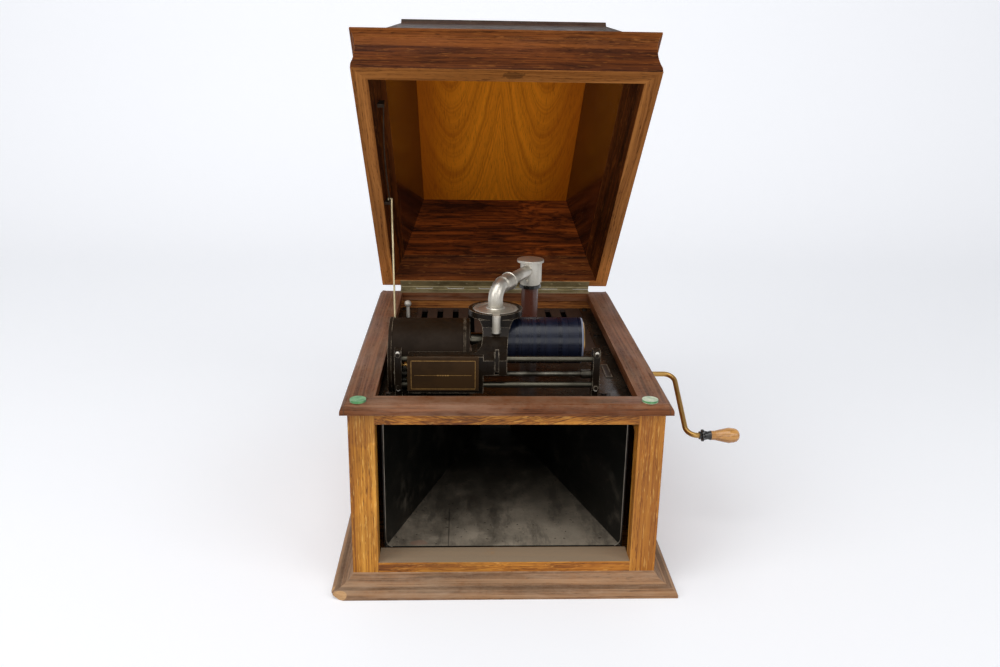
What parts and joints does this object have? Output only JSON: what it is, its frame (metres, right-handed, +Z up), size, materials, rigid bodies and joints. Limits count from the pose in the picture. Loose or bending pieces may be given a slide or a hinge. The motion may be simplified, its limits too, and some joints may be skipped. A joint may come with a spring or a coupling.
{
  "type": "cylinder phonograph",
  "caption": "Table phonograph for cylinder records with a hinged wooden lid, an inner horn, a spring motor, a mandrel and a sliding carriage with a jointed tone arm.",
  "frame": {"origin": "on the floor, under the middle of the wooden case", "axes": "+Z up, -Y towards the front with the horn's mouth, +X to the viewer's right, towards the crank; the lid stands open at rest"},
  "size_m": [0.5027, 0.5513, 0.6244],
  "materials": {
    "case_oak": "satin golden oak with visible grain",
    "frame_wood": "worn red-brown varnish",
    "base_wood": "dusty brown varnish",
    "lid_wood": "dark red-brown varnish",
    "lid_inner_wood": "orange-brown varnish",
    "inner_wood": "plain unfinished board",
    "japan_black": "black-brown japan with gold lining",
    "horn_black": "dusty black paint",
    "pipe_brown": "maroon-brown enamel",
    "collar_black": "black enamel",
    "nickel": "warm worn nickel plate",
    "steel": "bright steel",
    "aged_hinge": "aged khaki-grey metal",
    "brass": "worn brass",
    "record_blue": "glossy dark blue",
    "handle_wood": "dark turned wood",
    "felt_green": "green felt",
    "spring_steel": "blued spring steel"
  },
  "bodies": {
    "case": {"back_panel": "inner_wood", "base_moulding": "base_wood", "bedplate": "japan_black", "bedplate_cleats": "inner_wood", "bedplate_screws": "steel", "bottom_board": "inner_wood", "crank_escutcheon": "nickel", "drum_cover": "japan_black", "end_plates": "japan_black", "felt_pads": "felt_green", "front_rails": "case_oak", "front_stiles": "case_oak", "guide_rods": "steel", "hinge_case_leaf": "aged_hinge", "horn": "horn_black", "horn_elbow": "horn_black", "lever_bracket": "steel", "mandrel_bearing": "japan_black", "motor_frame": "steel", "name_plate": "nickel", "pipe_collar": "collar_black", "side_panels": "case_oak", "slotted_board": "japan_black", "stay_bracket": "aged_hinge", "tone_pipe": "pipe_brown", "top_frame": "frame_wood"},
    "lid": {"lid_rim": "lid_wood", "lid_cornice": "lid_wood", "lid_roof": "lid_wood", "lid_inner_slopes": "lid_inner_wood", "lid_inner_panel": "lid_inner_wood", "lid_top_board": "lid_wood", "hinge_lid_leaf": "aged_hinge", "stay_track": "aged_hinge"},
    "stay": {"stay_rod": "aged_hinge"},
    "crank": {"crank_rod": "brass", "winding_pinion": "steel", "crank_ferrule": "collar_black"},
    "handle": {"crank_handle": "handle_wood"},
    "winding": {"winding_wheel": "steel"},
    "barrel": {"spring_barrel": "steel", "mainspring": "spring_steel"},
    "second": {"second_wheel": "steel"},
    "drive": {"drive_shaft": "steel"},
    "governor": {"governor": "steel"},
    "drive_idler": {"drive_idler": "steel"},
    "mandrel": {"mandrel_shaft": "steel", "mandrel": "brass"},
    "record": {"record": "record_blue"},
    "feed_idler": {"feed_idler": "brass"},
    "feed": {"feed_screw": "steel"},
    "carriage": {"carriage_arm": "japan_black", "carriage_cover": "japan_black", "reproducer_body": "nickel"},
    "lift": {"lift_lever": "steel"},
    "weight": {"reproducer_weight": "steel"},
    "elbow": {"elbow": "nickel"},
    "swivel": {"swivel_head": "nickel"},
    "start": {"start_lever": "nickel"}
  },
  "joints": [
    {"name": "lid_hinge", "type": "hinge", "parent": "case", "child": "lid", "pos_m": [0, 0.2375, 0.235], "axis": [1, 0, 0], "range_deg": [0, 46.4]},
    {"name": "stay_swing", "type": "hinge", "parent": "case", "child": "stay", "pos_m": [-0.1405, 0.0374, 0.215], "axis": [0.9995, -0.002, 0.0321], "range_deg": [0, 96.2]},
    {"name": "crank_turn", "type": "hinge", "parent": "case", "child": "crank", "pos_m": [0, 0.015, 0.172], "axis": [1, 0, 0], "continuous": true},
    {"name": "handle_turn", "type": "hinge", "parent": "crank", "child": "handle", "pos_m": [0, -0.079, 0.123], "axis": [1, 0, 0], "continuous": true},
    {"name": "winding_turn", "type": "hinge", "parent": "case", "child": "winding", "pos_m": [0, -0.008, 0.11821], "axis": [1, 0, 0], "continuous": true},
    {"name": "mandrel_turn", "type": "hinge", "parent": "case", "child": "mandrel", "pos_m": [0, -0.1, 0.2575], "axis": [1, 0, 0], "continuous": true},
    {"name": "record_slide", "type": "slide", "parent": "mandrel", "child": "record", "axis": [-1, 0, 0], "range_m": [-0.112, 0]},
    {"name": "drive_idler_turn", "type": "hinge", "parent": "case", "child": "drive_idler", "pos_m": [0, -0.08944, 0.21608], "axis": [1, 0, 0], "continuous": true},
    {"name": "drive_shaft_turn", "type": "hinge", "parent": "case", "child": "drive", "pos_m": [0, -0.07, 0.178], "axis": [1, 0, 0], "continuous": true},
    {"name": "second_wheel_turn", "type": "hinge", "parent": "case", "child": "second", "pos_m": [0, -0.05682, 0.1413], "axis": [1, 0, 0], "continuous": true},
    {"name": "barrel_turn", "type": "hinge", "parent": "case", "child": "barrel", "pos_m": [0, -0.008, 0.11821], "axis": [1, 0, 0], "continuous": true},
    {"name": "governor_turn", "type": "hinge", "parent": "case", "child": "governor", "pos_m": [0, -0.04631, 0.17418], "axis": [1, 0, 0], "continuous": true},
    {"name": "feed_idler_turn", "type": "hinge", "parent": "case", "child": "feed_idler", "pos_m": [0, -0.12725, 0.22995], "axis": [1, 0, 0], "continuous": true},
    {"name": "feed_screw_turn", "type": "hinge", "parent": "case", "child": "feed", "pos_m": [0, -0.152, 0.2335], "axis": [1, 0, 0], "continuous": true},
    {"name": "carriage_slide", "type": "slide", "parent": "case", "child": "carriage", "axis": [1, 0, 0], "range_m": [0, 0.0948]},
    {"name": "lift_tilt", "type": "hinge", "parent": "carriage", "child": "lift", "pos_m": [0, -0.163, 0.243], "axis": [1, 0, 0], "range_deg": [0, 12]},
    {"name": "weight_tilt", "type": "hinge", "parent": "carriage", "child": "weight", "pos_m": [-0.0104, -0.08, 0.2898], "axis": [1, 0, 0], "range_deg": [-1.8, 0.8]},
    {"name": "elbow_turn", "type": "hinge", "parent": "carriage", "child": "elbow", "pos_m": [-0.0104, -0.1, 0], "axis": [0, 0, 1], "range_deg": [0, 53.18]},
    {"name": "swivel_turn", "type": "hinge", "parent": "case", "child": "swivel", "pos_m": [0.037, -0.005, 0], "axis": [0, 0, 1], "range_deg": [0, 53.18]},
    {"name": "start_tilt", "type": "hinge", "parent": "case", "child": "start", "pos_m": [-0.132, 0.17, 0.191], "axis": [1, 0, 0], "range_deg": [-12, 12]}
  ],
  "couplings": [
    {"joint": "stay_swing", "follows": "lid_hinge", "ratio": 2.069},
    {"joint": "winding_turn", "follows": "crank_turn", "ratio": -0.44444},
    {"joint": "drive_idler_turn", "follows": "mandrel_turn", "ratio": -0.96552},
    {"joint": "drive_shaft_turn", "follows": "mandrel_turn", "ratio": 1},
    {"joint": "second_wheel_turn", "follows": "mandrel_turn", "ratio": -0.2381},
    {"joint": "barrel_turn", "follows": "mandrel_turn", "ratio": 0.047619},
    {"joint": "governor_turn", "follows": "mandrel_turn", "ratio": -2.2},
    {"joint": "feed_idler_turn", "follows": "mandrel_turn", "ratio": -1.2143},
    {"joint": "feed_screw_turn", "follows": "mandrel_turn", "ratio": 2.8333},
    {"joint": "elbow_turn", "follows": "carriage_slide", "rad_per_m": 9.7638},
    {"joint": "swivel_turn", "follows": "carriage_slide", "rad_per_m": 9.7638}
  ]
}
